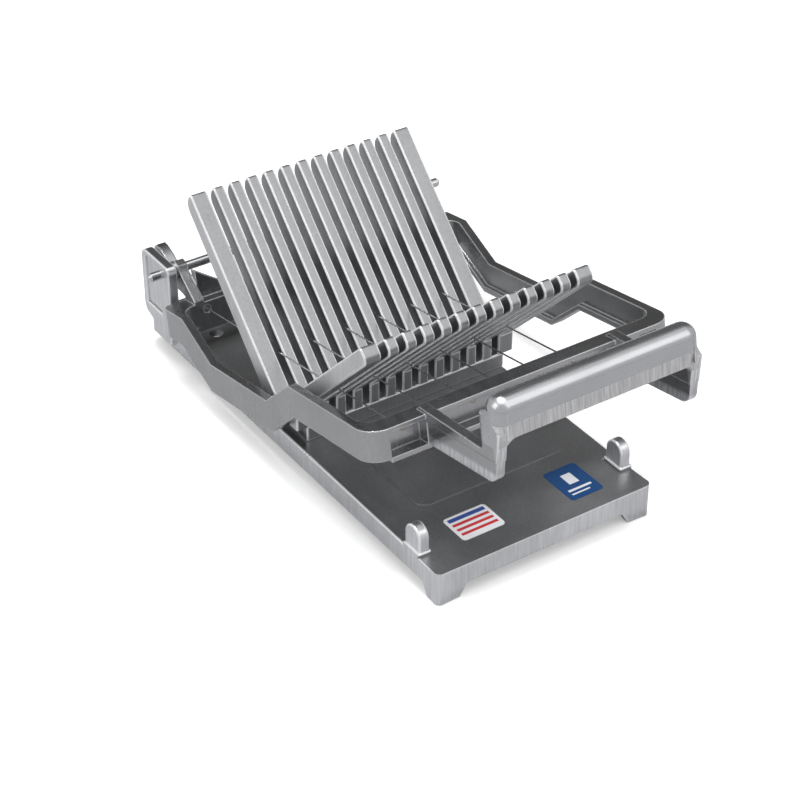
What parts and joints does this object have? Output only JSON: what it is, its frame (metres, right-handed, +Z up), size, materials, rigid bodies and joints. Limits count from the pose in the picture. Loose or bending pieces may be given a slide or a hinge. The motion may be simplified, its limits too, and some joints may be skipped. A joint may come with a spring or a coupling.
{
  "type": "cheese cutter",
  "caption": "Hinged wire frame with a long front handle over a V-shaped slotted rack on a narrow cast base.",
  "frame": {"origin": "the middle of the part on the table, under its bounding box", "axes": "+Z up, -Y towards the handle, +X to the right seen from the handle, along the hinge pin"},
  "size_m": [0.1774, 0.2758, 0.1098],
  "materials": {
    "base_cast": "cast, semi-gloss",
    "rack_cast": "cast, satin",
    "arm_cast": "cast, with a polished handle",
    "pin_steel": "polished steel",
    "spacer_steel": "turned",
    "black_steel": "black oxide",
    "ferrule_brass": "crimped",
    "fastener_steel": "plain",
    "wire_steel": "drawn wire",
    "striped_print": "printed vinyl, stripes",
    "blue_print": "printed vinyl, blue"
  },
  "bodies": {
    "base": {"base_casting": "base_cast", "rack_ribs": "rack_cast", "rack_sill": "rack_cast", "hinge_pin": "pin_steel", "hinge_spacer_left": "spacer_steel", "hinge_spacer_right": "spacer_steel", "hinge_set_screws": "black_steel", "rack_screws": "fastener_steel", "rack_screw_washers": "fastener_steel", "striped_label": "striped_print", "blue_label": "blue_print"},
    "arm": {"wire_frame_arm": "arm_cast", "cutting_wire_1": "wire_steel", "cutting_wire_2": "wire_steel", "cutting_wire_3": "wire_steel", "cutting_wire_4": "wire_steel", "cutting_wire_5": "wire_steel", "cutting_wire_6": "wire_steel", "wire_front_ferrules": "ferrule_brass", "wire_tension_screws": "fastener_steel", "wire_tension_nuts": "fastener_steel", "wire_tension_washers": "fastener_steel"}
  },
  "joints": [
    {"name": "arm_hinge", "type": "hinge", "parent": "base", "child": "arm", "pos_m": [0, 0.11593, 0.052], "axis": [-1, 0, 0], "range_deg": [-10.5, 85]}
  ]
}
